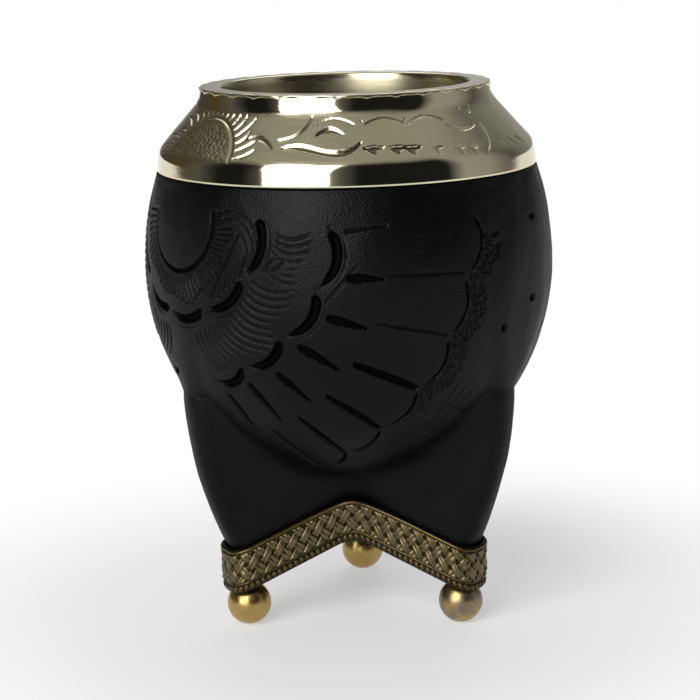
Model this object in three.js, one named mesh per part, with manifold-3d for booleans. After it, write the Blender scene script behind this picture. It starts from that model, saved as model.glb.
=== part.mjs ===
// Mate gourd on a tripod: a calabash cup in a wet-moulded leather cover, drawn out into three legs
// that stand on brass balls, with a metal collar round the mouth.
// Millimetres, +Z up, floor at z = 0, cup on the Z axis. The front is -Y, between two of the legs.
import * as THREE from "three";
import { mergeVertices } from "three/addons/utils/BufferGeometryUtils.js";
import Module from "manifold-3d";

const wasm = await Module();
wasm.setup();

// Clearance between pieces that touch
const SEAT_GAP = 0.3;

// Gourd and leather
const BELLY_RADIUS = 49.2;
const CROWN_SEMI_AXIS = 60;
const BASE_SEMI_AXIS = 53;
const GOURD_WALL = 7;
const LEATHER = 2;
const TUCK_HEIGHT = 4;
const TUCK_THICKNESS = 0.8;

// Legs, as drawn out of the leather
const LEG_TIP_RADIUS = 33.9;
const LEG_TIP_HALF_WIDTH = 4.6;
const LEG_ROOT_HALF_WIDTH = 9.5;
const LEG_EDGE_ROUNDING = 5;
const LEG_CREST_RADIUS = 44.2;
const LEG_CREST_DROP = 28;
const LEG_TOP_DROP = 9;
const LEG_CURVE = 1.9;
const CREST_FILLET = 3;
const WEB_FILLET = 14;
const CORNER_FILLET = 3;

// Base
const ARCH_SLOPE = 0.39;
const ARCH_ROUNDING = 4;
const SOLE = 1.5;
const BLOCK_UNDER_GOURD = 10.3;
const BLOCK_FIN_DROP = 4;
const TRIM_HEIGHT = 11;
const TRIM_SHEET = 0.8;
const TRIM_REVEAL = 1.8;
const TRIM_RIM_HEIGHT = 1.3;
const TRIM_RIM_PROUD = 0.4;

// Ball feet
const BALL_RADIUS = 5.3;
const BALL_FLAT_RADIUS = 1.2;
const BALL_COVER = 1.5;
const NECK_OF_BALL_RADIUS = 2.2;
const SPIGOT_RADIUS = 1;
const SPIGOT_LENGTH = 9;
const WOOD_OUTSIDE_SPIGOT = 0.7;

// Collar
const COLLAR_RISE = 23.1;
const COLLAR_BAND_HEIGHT = 5;
const COLLAR_BAND_TAPER = 0.6;
const SHOULDER_HEIGHT = 10.5;
const NECK_HEIGHT = 3;
const NECK_FLARE = 0.8;
const CREASE_ROUNDING = 1.6;
const NECK_ROUNDING = 1.8;
const MOUTH_RADIUS = 29;
const LIP_WIDTH = 5.5;
const LIP_HEIGHT = 1.1;
const SLEEVE_DEPTH = 16;
const SHEET = 0.9;

// Fineness of the facets
const SIDE_STEPS = 8;
const TURN_STEPS = 42;
const BALL_STEPS = 12;

// Directions of the three legs, in radians from +X
const LEGS = { left: (210 * Math.PI) / 180, right: (-30 * Math.PI) / 180, rear: Math.PI / 2 };
const LEG_ANGLES = Object.values(LEGS);

function evenly(from, to, count) {
  return Array.from({ length: count }, (_, step) => from + ((to - from) * step) / (count - 1));
}

// Least or greatest of two values, with the step from one to the other rounded off
function smoothMin(a, b, rounding) {
  const share = Math.max(rounding - Math.abs(a - b), 0) / rounding;
  return Math.min(a, b) - (share * share * rounding) / 4;
}

const smoothMax = (a, b, rounding) => -smoothMin(-a, -b, rounding);

// Underside: each leg is cut off by a plane that slopes up towards the axis
function alongLegs(r, angle) {
  const each = LEG_ANGLES.map((leg) => r * Math.cos(angle - leg));
  return each.reduce((a, b) => smoothMax(a, b, ARCH_ROUNDING));
}

// Levels of the base, stacked up from the balls
const BALL_CENTRE = Math.sqrt(BALL_RADIUS ** 2 - BALL_FLAT_RADIUS ** 2);
const TRIM_TIP_LEVEL = BALL_CENTRE + BALL_RADIUS - BALL_COVER;
const trimLevel = (rise) => (r, angle) =>
  TRIM_TIP_LEVEL + (LEG_TIP_RADIUS - alongLegs(r, angle)) * ARCH_SLOPE + rise;
const hem = trimLevel(TRIM_REVEAL);
const soleTop = trimLevel(TRIM_REVEAL + SOLE);
const blockBottom = trimLevel(TRIM_REVEAL + SOLE + SEAT_GAP);
const GOURD_INSET = LEATHER + SEAT_GAP;
const GOURD_BOTTOM = blockBottom(0, 0) + BLOCK_UNDER_GOURD + SEAT_GAP;
const BELLY_LEVEL = GOURD_BOTTOM - GOURD_INSET + BASE_SEMI_AXIS;
const CREST_LEVEL = BELLY_LEVEL - LEG_CREST_DROP;
const STRAIGHT_LEVEL = TRIM_TIP_LEVEL + TRIM_HEIGHT - TRIM_RIM_HEIGHT;
const LEG_TOP_LEVEL = CREST_LEVEL - LEG_TOP_DROP;

// Levels of the collar, stacked up from the belly
const COLLAR_BOTTOM = BELLY_LEVEL + COLLAR_RISE;
const CREASE_LEVEL = COLLAR_BOTTOM + COLLAR_BAND_HEIGHT;
const NECK_BASE_LEVEL = CREASE_LEVEL + SHOULDER_HEIGHT;
const NECK_TOP = NECK_BASE_LEVEL + NECK_HEIGHT;
const RIM_LEVEL = NECK_TOP + LIP_HEIGHT;
const NECK_RADIUS = MOUTH_RADIUS + LIP_WIDTH;

// The form of the leather cover, as signed distances outward from its surface

function eggDistance(r, angle, z) {
  const rise = z - BELLY_LEVEL;
  const semiAxis = rise > 0 ? CROWN_SEMI_AXIS : BASE_SEMI_AXIS;
  const scaled = Math.hypot(r / BELLY_RADIUS, rise / semiAxis);
  const slope = Math.hypot(r / BELLY_RADIUS ** 2, rise / semiAxis ** 2);
  return (scaled * (scaled - 1)) / slope;
}

// How far down a leg a level is: 0 at the crest, 1 where the leg runs straight into the base
function legShare(z) {
  return Math.min(Math.abs(z - CREST_LEVEL) / (CREST_LEVEL - STRAIGHT_LEVEL), 1);
}

// One leg in plan is a tapered bar from the axis to a blunt end with rounded corners.
// Its end is upright at the crest and curves in towards the foot.
function legDistance(r, turn, z) {
  const along = r * Math.cos(turn);
  const across = Math.abs(r * Math.sin(turn));
  if (along < 0) return r - LEG_ROOT_HALF_WIDTH;
  const end = LEG_CREST_RADIUS - (LEG_CREST_RADIUS - LEG_TIP_RADIUS) * legShare(z) ** LEG_CURVE;
  const taper = Math.atan2(LEG_ROOT_HALF_WIDTH - LEG_TIP_HALF_WIDTH, end);
  const side = along * Math.sin(taper) + (across - LEG_ROOT_HALF_WIDTH) * Math.cos(taper);
  return smoothMax(side, along - end, LEG_EDGE_ROUNDING);
}

function legsDistance(r, angle, z) {
  const each = LEG_ANGLES.map((leg) => legDistance(r, angle - leg, z));
  return each.reduce((a, b) => smoothMin(a, b, CORNER_FILLET));
}

// The leather is drawn tight at the crest of a leg and spans a wide web lower down
function coverDistance(r, angle, z) {
  const fillet = CREST_FILLET + (WEB_FILLET - CREST_FILLET) * legShare(z);
  return smoothMin(eggDistance(r, angle, z), legsDistance(r, angle, z), fillet);
}

// Radius at which a distance field reaches a value, along a row whose level may depend on the radius
function reach(field, value, angle, level) {
  let low = 0;
  let high = 2 * BELLY_RADIUS;
  for (let step = 0; step < 40; step += 1) {
    const middle = (low + high) / 2;
    if (field(middle, angle, level(middle, angle)) < value) low = middle;
    else high = middle;
  }
  return low;
}

const eggRadius = (z, inset) => reach(eggDistance, -inset, 0, () => z);

// Plan angles of a lofted ring at a distance from the cover, closer together at the ends of the legs
function planAngles(value) {
  const corner = Math.atan2(LEG_TIP_HALF_WIDTH + value, LEG_TIP_RADIUS + value);
  const start = 1.3 * corner;
  const end = [0, 0.4, 0.75, 1].map((share) => share * corner);
  const rest = evenly(start, Math.PI / 3, SIDE_STEPS);
  const half = [...end, ...rest];
  const sector = [...half.slice(1).reverse().map((turn) => -turn), ...half.slice(0, -1)];
  return [LEGS.right, LEGS.rear, LEGS.left].flatMap((leg) => sector.map((turn) => leg + turn));
}

// A ring of points where a field reaches a value on a row
function fieldRing(field, value, level) {
  return planAngles(value).map((angle) => {
    const r = reach(field, value, angle, level);
    return new THREE.Vector3(r * Math.cos(angle), r * Math.sin(angle), level(r, angle));
  });
}

function turnedRing(r, z) {
  return planAngles(0).map((angle) => new THREE.Vector3(r * Math.cos(angle), r * Math.sin(angle), z));
}

// Surface through a list of rings: the last ring meets the first again, or both ends close on the axis
function loft(rings, ends) {
  const count = rings[0].length;
  const points = rings.flat();
  const faces = [];
  const strips = ends ? rings.length - 1 : rings.length;
  for (let row = 0; row < strips; row += 1) {
    const here = row * count;
    const next = ((row + 1) % rings.length) * count;
    for (let step = 0; step < count; step += 1) {
      const after = (step + 1) % count;
      faces.push(here + step, here + after, next + after);
      faces.push(here + step, next + after, next + step);
    }
  }
  if (ends) {
    const last = (rings.length - 1) * count;
    const bottom = points.push(new THREE.Vector3(0, 0, ends[0])) - 1;
    const top = points.push(new THREE.Vector3(0, 0, ends[1])) - 1;
    for (let step = 0; step < count; step += 1) {
      const after = (step + 1) % count;
      faces.push(bottom, after, step);
      faces.push(top, last + step, last + after);
    }
  }
  const geometry = new THREE.BufferGeometry().setFromPoints(points);
  geometry.setIndex(faces);
  return geometry;
}

// Turned pieces: a closed profile of [radius, level] points, anticlockwise, spun about Z
function turned(profile, steps) {
  const points = profile.map(([r, z]) => new THREE.Vector2(r, z));
  return new THREE.LatheGeometry(points, steps).rotateX(Math.PI / 2).rotateZ(Math.PI / 2);
}

// A bent line of sheet metal: corners are [radius, level, setback of the rounding]
function roundedLine(corners) {
  const path = new THREE.Path();
  path.moveTo(corners[0][0], corners[0][1]);
  for (let at = 1; at < corners.length; at += 1) {
    const corner = new THREE.Vector2(corners[at][0], corners[at][1]);
    const setback = corners[at][2];
    if (!setback) {
      path.lineTo(corner.x, corner.y);
      continue;
    }
    const before = new THREE.Vector2(corners[at - 1][0], corners[at - 1][1]).sub(corner);
    const after = new THREE.Vector2(corners[at + 1][0], corners[at + 1][1]).sub(corner);
    const start = before.setLength(setback).add(corner);
    const end = after.setLength(setback).add(corner);
    path.lineTo(start.x, start.y);
    path.quadraticCurveTo(corner.x, corner.y, end.x, end.y);
  }
  return path.getPoints(3).map((point) => [point.x, point.y]);
}

// The same line moved sideways, to the left of its direction
function offsetLine(line, distance) {
  return line.map((point, at) => {
    const before = line[Math.max(at - 1, 0)];
    const after = line[Math.min(at + 1, line.length - 1)];
    const into = new THREE.Vector2(point[0] - before[0], point[1] - before[1]).normalize();
    const out = new THREE.Vector2(after[0] - point[0], after[1] - point[1]).normalize();
    const way = into.clone().add(out).normalize();
    const mitre = distance / (at > 0 && at < line.length - 1 ? way.dot(into) : 1);
    return [point[0] - way.y * mitre, point[1] + way.x * mitre];
  });
}

function radiusOnLine(line, z) {
  const at = line.findIndex((point, index) => index > 0 && point[1] >= z);
  if (at < 0) return line.at(-1)[0];
  const [from, to] = [line[at - 1], line[at]];
  return from[0] + ((to[0] - from[0]) * (z - from[1])) / (to[1] - from[1]);
}

// Cutting one piece by another

function toSolid(geometry) {
  const bare = geometry.clone();
  bare.deleteAttribute("normal");
  bare.deleteAttribute("uv");
  const merged = mergeVertices(bare, 1e-4);
  const vertProperties = new Float32Array(merged.attributes.position.array);
  const triVerts = new Uint32Array(merged.index.array);
  return new wasm.Manifold(new wasm.Mesh({ numProp: 3, vertProperties, triVerts }));
}

function toGeometry(solid) {
  const mesh = solid.getMesh();
  const geometry = new THREE.BufferGeometry();
  geometry.setAttribute("position", new THREE.BufferAttribute(mesh.vertProperties, 3));
  geometry.setIndex(new THREE.BufferAttribute(mesh.triVerts, 1));
  return geometry;
}

function cut(geometry, tools) {
  const solid = tools.reduce((left, tool) => left.subtract(toSolid(tool)), toSolid(geometry));
  return toGeometry(solid);
}

// Collar: lower band, sloping shoulder and upright neck, in one bent sheet
const COLLAR_BAND_RADIUS = eggRadius(COLLAR_BOTTOM, LEATHER) + TUCK_THICKNESS + SEAT_GAP + SHEET;
const collarOutside = roundedLine([
  [COLLAR_BAND_RADIUS, COLLAR_BOTTOM],
  [COLLAR_BAND_RADIUS - COLLAR_BAND_TAPER, CREASE_LEVEL, CREASE_ROUNDING],
  [NECK_RADIUS + NECK_FLARE, NECK_BASE_LEVEL, NECK_ROUNDING],
  [NECK_RADIUS, NECK_TOP],
]);
const collarInside = offsetLine(collarOutside, SHEET);
const underCollar = offsetLine(collarOutside, SHEET + SEAT_GAP);

function collarShell() {
  return turned([...collarOutside, ...collarInside.slice().reverse(), collarOutside[0]], TURN_STEPS);
}

// Mouth liner: an upright sleeve that rolls over into the lip and comes down on the edge of the neck
function mouthLiner() {
  const lipEdge = NECK_TOP + SEAT_GAP;
  const roll = RIM_LEVEL - lipEdge;
  const shown = roundedLine([
    [MOUTH_RADIUS, RIM_LEVEL - SLEEVE_DEPTH],
    [MOUTH_RADIUS, RIM_LEVEL, 2 * roll],
    [NECK_RADIUS, RIM_LEVEL, roll * 0.98],
    [NECK_RADIUS, lipEdge],
  ]);
  const hidden = offsetLine(shown, -SHEET);
  return turned([...hidden, ...shown.slice().reverse(), hidden[0]], TURN_STEPS);
}

// Gourd: an egg with a thick wall, dressed back under the collar and bored at the mouth for the sleeve
function gourdOutside(z) {
  const grown = eggRadius(z, GOURD_INSET);
  return z < COLLAR_BOTTOM ? grown : Math.min(grown, radiusOnLine(underCollar, z));
}

function gourdShell() {
  const cavityInset = GOURD_INSET + GOURD_WALL;
  const bore = MOUTH_RADIUS + SHEET + SEAT_GAP;
  const lower = (inset) =>
    evenly(0, Math.PI / 2, 8).map((turn) => BELLY_LEVEL - (BASE_SEMI_AXIS - inset) * Math.cos(turn));
  const upper = evenly(BELLY_LEVEL, NECK_BASE_LEVEL, 8).slice(1);
  const outside = [...lower(GOURD_INSET), ...upper].map((z) => [gourdOutside(z), z]);
  const inside = [
    ...lower(cavityInset).map((z) => [eggRadius(z, cavityInset), z]),
    ...upper.map((z) => [Math.max(eggRadius(z, cavityInset), bore), z]),
  ];
  outside[0][0] = 0;
  inside[0][0] = 0;
  return turned([...outside, ...inside.reverse()], TURN_STEPS);
}

// Rows across the legs, each a share of the way up from the hem to the top of the legs
const legRows = (shares) =>
  shares.map((share) => (r, angle) => LEG_TOP_LEVEL * share + hem(r, angle) * (1 - share));
const outsideRows = legRows([0.9, 0.8, 0.71, 0.63, 0.56, 0.49, 0.42, 0.33, 0.22, 0.1, 0]);
const liningRows = legRows([0.86, 0.72, 0.58, 0.46, 0.32, 0.16, 0]);

// Leather cover: down the outside from the tucked edge to the arched hem and up again inside
function leatherCover() {
  const tuckTop = COLLAR_BOTTOM + TUCK_HEIGHT;
  const edge = COLLAR_BOTTOM - SEAT_GAP;
  const body = evenly(edge, LEG_TOP_LEVEL, 10).map((z) => () => z);
  const side = (value, rows) => [...body, ...rows].map((row) => fieldRing(coverDistance, value, row));
  return loft([
    ...side(0, outsideRows).reverse(),
    turnedRing(radiusOnLine(underCollar, COLLAR_BOTTOM), edge),
    turnedRing(radiusOnLine(underCollar, tuckTop), tuckTop),
    turnedRing(eggRadius(tuckTop, LEATHER), tuckTop),
    ...side(-LEATHER, liningRows),
  ]);
}

// Ball foot: a ball worn flat underneath, a short neck against the sole and a spigot in the block.
// The spigot's hole leaves a thin wall of wood between it and the leather at the end of the leg.
const HOLE_RADIUS = SPIGOT_RADIUS + SEAT_GAP;
const FOOT_CIRCLE_RADIUS = LEG_TIP_RADIUS - LEATHER - SEAT_GAP - WOOD_OUTSIDE_SPIGOT - HOLE_RADIUS;
const NECK_OF_BALL_TOP = hem(FOOT_CIRCLE_RADIUS + NECK_OF_BALL_RADIUS, LEGS.rear) - SEAT_GAP;
const SPIGOT_TOP = blockBottom(FOOT_CIRCLE_RADIUS, LEGS.rear) + SPIGOT_LENGTH;

function footAt(leg, geometry) {
  const x = FOOT_CIRCLE_RADIUS * Math.cos(leg);
  const y = FOOT_CIRCLE_RADIUS * Math.sin(leg);
  return geometry.translate(x, y, 0);
}

function ballFoot(leg) {
  const start = Math.asin(BALL_FLAT_RADIUS / BALL_RADIUS);
  const end = Math.PI - Math.asin(NECK_OF_BALL_RADIUS / BALL_RADIUS);
  const ball = evenly(start, end, 9).map((turn) => [
    BALL_RADIUS * Math.sin(turn),
    BALL_CENTRE - BALL_RADIUS * Math.cos(turn),
  ]);
  ball[0][1] = 0;
  const profile = [
    [0, 0],
    ...ball,
    [NECK_OF_BALL_RADIUS, NECK_OF_BALL_TOP],
    [SPIGOT_RADIUS, NECK_OF_BALL_TOP],
    [SPIGOT_RADIUS, SPIGOT_TOP],
    [0, SPIGOT_TOP],
  ];
  return footAt(leg, turned(profile, BALL_STEPS));
}

// Space that a spigot needs in the sole and the block
function spigotHole(leg) {
  const top = SPIGOT_TOP + SEAT_GAP;
  const profile = [[0, 0], [HOLE_RADIUS, 0], [HOLE_RADIUS, top], [0, top]];
  return footAt(leg, turned(profile, BALL_STEPS));
}

const spigotHoles = LEG_ANGLES.map(spigotHole);

// Block: the three legs filled solid up to the gourd, which sits in a dish cut out of the top
function baseBlock() {
  const inset = -(LEATHER + SEAT_GAP);
  const top = CREST_LEVEL - BLOCK_FIN_DROP;
  const rows = [blockBottom, ...liningRows.slice(0, -1).reverse(), () => LEG_TOP_LEVEL, () => top];
  const rings = rows.map((row) => fieldRing(legsDistance, inset, row));
  const dish = evenly(0, Math.PI / 2, 8).map((turn) => {
    const z = BELLY_LEVEL - (BASE_SEMI_AXIS - LEATHER) * Math.cos(turn);
    return [eggRadius(z, LEATHER), z];
  });
  dish[0][0] = 0;
  const room = turned([...dish, [0, BELLY_LEVEL]], TURN_STEPS);
  return cut(loft(rings, [blockBottom(0, 0), top]), [room, ...spigotHoles]);
}

// Sole: a sheet of leather on the sloping underside, inside the hem
function solePlate() {
  const inset = -(LEATHER + SEAT_GAP);
  const rings = [hem, soleTop].map((level) => fieldRing(legsDistance, inset, level));
  return cut(loft(rings, [hem(0, 0), soleTop(0, 0)]), spigotHoles);
}

// Trim: one strip bent round all three legs, with a plain raised rim along its upper edge
function trimBand() {
  const inner = SEAT_GAP;
  const outer = SEAT_GAP + TRIM_SHEET;
  const rim = outer + TRIM_RIM_PROUD;
  const ring = (value, rise) => fieldRing(coverDistance, value, trimLevel(rise));
  return loft([
    ring(inner, TRIM_HEIGHT),
    ring(inner, TRIM_HEIGHT / 2),
    ring(inner, 0),
    ring(outer, 0),
    ring(outer, TRIM_HEIGHT / 2),
    ring(outer, TRIM_HEIGHT - TRIM_RIM_HEIGHT - TRIM_RIM_PROUD),
    ring(rim, TRIM_HEIGHT - TRIM_RIM_HEIGHT),
    ring(rim, TRIM_HEIGHT),
  ]);
}

// Looks of the pieces
const leather = new THREE.MeshStandardMaterial({ color: 0x1a1412, roughness: 0.55, metalness: 0 });
const soleLeather = new THREE.MeshStandardMaterial({ color: 0x2a1f19, roughness: 0.8, metalness: 0 });
const calabash = new THREE.MeshStandardMaterial({ color: 0xa9834f, roughness: 0.8, metalness: 0 });
const wood = new THREE.MeshStandardMaterial({ color: 0x8a6238, roughness: 0.75, metalness: 0 });
const alpaca = new THREE.MeshStandardMaterial({ color: 0xc9c2b2, roughness: 0.25, metalness: 1 });
const lipMetal = new THREE.MeshStandardMaterial({ color: 0xcbbf9f, roughness: 0.22, metalness: 1 });
const brass = new THREE.MeshStandardMaterial({ color: 0xa07a3c, roughness: 0.35, metalness: 1 });
const ballBrass = new THREE.MeshStandardMaterial({ color: 0xc49a4a, roughness: 0.2, metalness: 1 });

const cup = new THREE.Group();

function piece(name, geometry, material) {
  const mesh = new THREE.Mesh(geometry, material);
  mesh.name = name;
  cup.add(mesh);
}

piece("gourd_shell", gourdShell(), calabash);
piece("leather_cover", leatherCover(), leather);
piece("base_block", baseBlock(), wood);
piece("sole", solePlate(), soleLeather);
piece("trim_band", trimBand(), brass);
piece("ball_foot_left", ballFoot(LEGS.left), ballBrass);
piece("ball_foot_right", ballFoot(LEGS.right), ballBrass.clone());
piece("ball_foot_rear", ballFoot(LEGS.rear), ballBrass.clone());
piece("collar_shell", collarShell(), alpaca);
piece("mouth_liner", mouthLiner(), lipMetal);

export default cup;
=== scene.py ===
import math
from collections import namedtuple

import bpy
import numpy as np
from mathutils import Matrix, Vector


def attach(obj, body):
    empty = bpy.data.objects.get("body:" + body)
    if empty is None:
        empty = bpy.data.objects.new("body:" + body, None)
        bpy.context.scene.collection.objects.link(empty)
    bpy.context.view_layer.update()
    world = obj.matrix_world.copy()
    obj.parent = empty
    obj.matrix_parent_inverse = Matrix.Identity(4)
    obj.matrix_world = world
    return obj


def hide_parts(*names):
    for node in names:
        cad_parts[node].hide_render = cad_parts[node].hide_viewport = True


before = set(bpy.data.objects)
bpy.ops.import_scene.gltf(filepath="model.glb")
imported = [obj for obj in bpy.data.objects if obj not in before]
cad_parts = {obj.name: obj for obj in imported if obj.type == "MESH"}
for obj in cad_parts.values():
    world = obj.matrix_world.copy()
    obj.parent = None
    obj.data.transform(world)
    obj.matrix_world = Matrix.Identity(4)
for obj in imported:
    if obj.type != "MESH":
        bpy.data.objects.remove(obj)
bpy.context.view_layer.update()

# The cup and the camera's place are in millimetres, turned into metres where they are used. The front is -Y.
MM = 0.001

# Sizes of the part
SEAT_GAP = 0.3
BELLY_RADIUS = 49.2
CROWN_SEMI_AXIS = 60.0
BASE_SEMI_AXIS = 53.0
GOURD_WALL = 7.0
LEATHER = 2.0
TUCK_HEIGHT = 4.0
TUCK_THICKNESS = 0.8
LEG_TIP_RADIUS = 33.9
LEG_TIP_HALF_WIDTH = 4.6
LEG_ROOT_HALF_WIDTH = 9.5
LEG_EDGE_ROUNDING = 4.3
LEG_CREST_RADIUS = 44.2
LEG_CREST_DROP = 28.0
LEG_TOP_DROP = 9.0
LEG_CURVE = 1.9
CREST_FILLET = 1.4
WEB_FILLET = 14.0
WEB_SPREAD = 0.6
CORNER_FILLET = 3.0
ARCH_SLOPE = 0.39
ARCH_ROUNDING = 4.0
SOLE = 1.5
BLOCK_UNDER_GOURD = 10.3
TRIM_HEIGHT = 11.0
TRIM_SHEET = 0.8
TRIM_REVEAL = 1.8
TRIM_RIM_HEIGHT = 1.3
FOOT_CIRCLE_RADIUS = 29.6
BALL_RADIUS = 5.3
BALL_FLAT_RADIUS = 1.2
BALL_COVER = 1.5
NECK_OF_BALL_RADIUS = 2.2
COLLAR_RISE = 23.1
COLLAR_BAND_HEIGHT = 5.0
COLLAR_BAND_TAPER = 0.6
SHOULDER_HEIGHT = 10.5
NECK_HEIGHT = 3.0
NECK_FLARE = 0.8
CREASE_ROUNDING = 1.6
NECK_ROUNDING = 1.8
MOUTH_RADIUS = 29.0
LIP_WIDTH = 5.5
LIP_HEIGHT = 1.1
SLEEVE_DEPTH = 16.0
SHEET = 0.9
LEGS = {"left": math.radians(210), "right": math.radians(-30), "rear": math.radians(90)}


# The form of the leather cover, as signed distances outward from its surface

def smooth_min(a, b, rounding):
    share = np.maximum(rounding - np.abs(a - b), 0) / rounding
    return np.minimum(a, b) - share * share * rounding / 4


def smooth_max(a, b, rounding):
    return -smooth_min(-a, -b, rounding)


def along_legs(r, angle):
    left, right, rear = [r * np.cos(angle - leg) for leg in LEGS.values()]
    return smooth_max(smooth_max(left, right, ARCH_ROUNDING), rear, ARCH_ROUNDING)


BALL_CENTRE = math.sqrt(BALL_RADIUS ** 2 - BALL_FLAT_RADIUS ** 2)
TRIM_TIP_LEVEL = BALL_CENTRE + BALL_RADIUS - BALL_COVER


def trim_level(rise):
    return lambda r, angle: TRIM_TIP_LEVEL + (LEG_TIP_RADIUS - along_legs(r, angle)) * ARCH_SLOPE + rise


hem = trim_level(TRIM_REVEAL)
sole_top = trim_level(TRIM_REVEAL + SOLE)
block_bottom = trim_level(TRIM_REVEAL + SOLE + SEAT_GAP)
GOURD_INSET = LEATHER + SEAT_GAP
BELLY_LEVEL = float(block_bottom(0.0, 0.0)) + BLOCK_UNDER_GOURD + SEAT_GAP - GOURD_INSET + BASE_SEMI_AXIS
CREST_LEVEL = BELLY_LEVEL - LEG_CREST_DROP
STRAIGHT_LEVEL = TRIM_TIP_LEVEL + TRIM_HEIGHT - TRIM_RIM_HEIGHT
LEG_TOP_LEVEL = CREST_LEVEL - LEG_TOP_DROP
COLLAR_BOTTOM = BELLY_LEVEL + COLLAR_RISE
CREASE_LEVEL = COLLAR_BOTTOM + COLLAR_BAND_HEIGHT
NECK_BASE_LEVEL = CREASE_LEVEL + SHOULDER_HEIGHT
NECK_TOP = NECK_BASE_LEVEL + NECK_HEIGHT
RIM_LEVEL = NECK_TOP + LIP_HEIGHT
NECK_RADIUS = MOUTH_RADIUS + LIP_WIDTH


def egg_distance(r, angle, z):
    rise = z - BELLY_LEVEL
    semi = np.where(rise > 0, CROWN_SEMI_AXIS, BASE_SEMI_AXIS)
    scaled = np.hypot(r / BELLY_RADIUS, rise / semi)
    slope = np.hypot(r / BELLY_RADIUS ** 2, rise / semi ** 2)
    return scaled * (scaled - 1) / np.maximum(slope, 1e-9)


def leg_share(z):
    return np.minimum(np.abs(z - CREST_LEVEL) / (CREST_LEVEL - STRAIGHT_LEVEL), 1)


def leg_distance(r, turn, z):
    along = r * np.cos(turn)
    across = np.abs(r * np.sin(turn))
    end = LEG_CREST_RADIUS - (LEG_CREST_RADIUS - LEG_TIP_RADIUS) * leg_share(z) ** LEG_CURVE
    taper = np.arctan2(LEG_ROOT_HALF_WIDTH - LEG_TIP_HALF_WIDTH, end)
    side = along * np.sin(taper) + (across - LEG_ROOT_HALF_WIDTH) * np.cos(taper)
    bar = smooth_max(side, along - end, LEG_EDGE_ROUNDING)
    return np.where(along < 0, r - LEG_ROOT_HALF_WIDTH, bar)


def legs_distance(r, angle, z):
    left, right, rear = [leg_distance(r, angle - leg, z) for leg in LEGS.values()]
    return smooth_min(smooth_min(left, right, CORNER_FILLET), rear, CORNER_FILLET)


def cover_distance(r, angle, z):
    fillet = CREST_FILLET + (WEB_FILLET - CREST_FILLET) * leg_share(z) ** WEB_SPREAD
    return smooth_min(egg_distance(r, angle, z), legs_distance(r, angle, z), fillet)


FIELD_HALVINGS = 30
EGG_HALVINGS = 40


def solve_radius(is_inside, like, halvings):
    """Radius at which a form ends, found by halving, for an array of places."""
    low = np.zeros_like(like)
    high = np.full_like(like, 2 * BELLY_RADIUS)
    for _ in range(halvings):
        middle = (low + high) / 2
        inside = is_inside(middle)
        low = np.where(inside, middle, low)
        high = np.where(inside, high, middle)
    return low


def reach(field, value, angles, level):
    """Radius at which a field reaches a value on a row, for an array of angles."""
    return solve_radius(lambda r: field(r, angles, level(r, angles)) < value, angles, FIELD_HALVINGS)


def ring_of(r, angles, z):
    return np.stack([r * np.cos(angles), r * np.sin(angles), z + 0 * angles], -1)


def field_ring(field, value, angles, level):
    r = reach(field, value, angles, level)
    return ring_of(r, angles, level(r, angles))


def field_rings(field, value, angles, levels):
    return np.stack([field_ring(field, value, angles, level) for level in levels])


def flat_level(z):
    return lambda r, angle: z + 0 * r


def egg_radius(z, inset):
    """Radius of the egg at each level, at a depth under its surface."""
    z = np.atleast_1d(np.asarray(z, float))
    return solve_radius(lambda r: egg_distance(r, 0, z) < -inset, z, EGG_HALVINGS)


def even_angles(count):
    return np.linspace(0, 2 * np.pi, count + 1)[:-1]


def turned_rings(line, angles):
    """Rings of a turned piece, from its line of radii and levels."""
    return np.stack([ring_of(r, angles, z) for r, z in line])


COLLAR_BAND_RADIUS = float(egg_radius(COLLAR_BOTTOM, LEATHER)[0]) + TUCK_THICKNESS + SEAT_GAP + SHEET


# Meshes

def make_object(name, points, faces, uvs, material):
    mesh = bpy.data.meshes.new(name)
    mesh.from_pydata((points * MM).tolist(), [], faces)
    layer = mesh.uv_layers.new(name="OFBake")
    layer.data.foreach_set("uv", np.asarray(uvs, np.float32).ravel())
    mesh.polygons.foreach_set("use_smooth", np.ones(len(mesh.polygons), bool))
    mesh.materials.append(material)
    mesh.update()
    piece = bpy.data.objects.new(name, mesh)
    bpy.context.scene.collection.objects.link(piece)
    return piece


def loft(name, rings, material, closed=False, bottom=None, top=None):
    """Surface through rings of points, [row, column, xyz], closed to a pole where one is given."""
    rows, columns = rings.shape[:2]
    points = rings.reshape(-1, 3)
    strips = rows if closed else rows - 1
    i = np.arange(strips)[:, None]
    j = np.arange(columns)[None, :]
    up = (i + 1) % rows
    on = (j + 1) % columns
    quads = np.stack([i * columns + j, i * columns + on, up * columns + on, up * columns + j], -1)
    u0, u1 = j / columns + 0 * i, (j + 1) / columns + 0 * i
    v0, v1 = (i + 0.5) / (strips + 1) + 0 * j, (i + 1.5) / (strips + 1) + 0 * j
    uvs = np.stack([u0, v0, u1, v0, u1, v1, u0, v1], -1).reshape(-1, 2).tolist()
    faces = quads.reshape(-1, 4).tolist()
    for pole, row, flip in ((bottom, 0, True), (top, rows - 1, False)):
        if pole is None:
            continue
        points = np.vstack([points, [pole]])
        apex = len(points) - 1
        v_edge, v_pole = (0.5 / (strips + 1), 0.0) if flip else (1 - 0.5 / (strips + 1), 1.0)
        for step in range(columns):
            ends = (step + 1, step) if flip else (step, step + 1)
            faces.append([apex] + [row * columns + end % columns for end in ends])
            uvs += [[(step + 0.5) / columns, v_pole]] + [[end / columns, v_edge] for end in ends]
    return make_object(name, points, faces, uvs, material)


def set_attribute(piece, name, values):
    data = piece.data.attributes.new(name, "FLOAT", "POINT").data
    padded = np.zeros(len(piece.data.vertices), np.float32)
    padded[: values.size] = values.ravel()
    data.foreach_set("value", padded)


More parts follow.
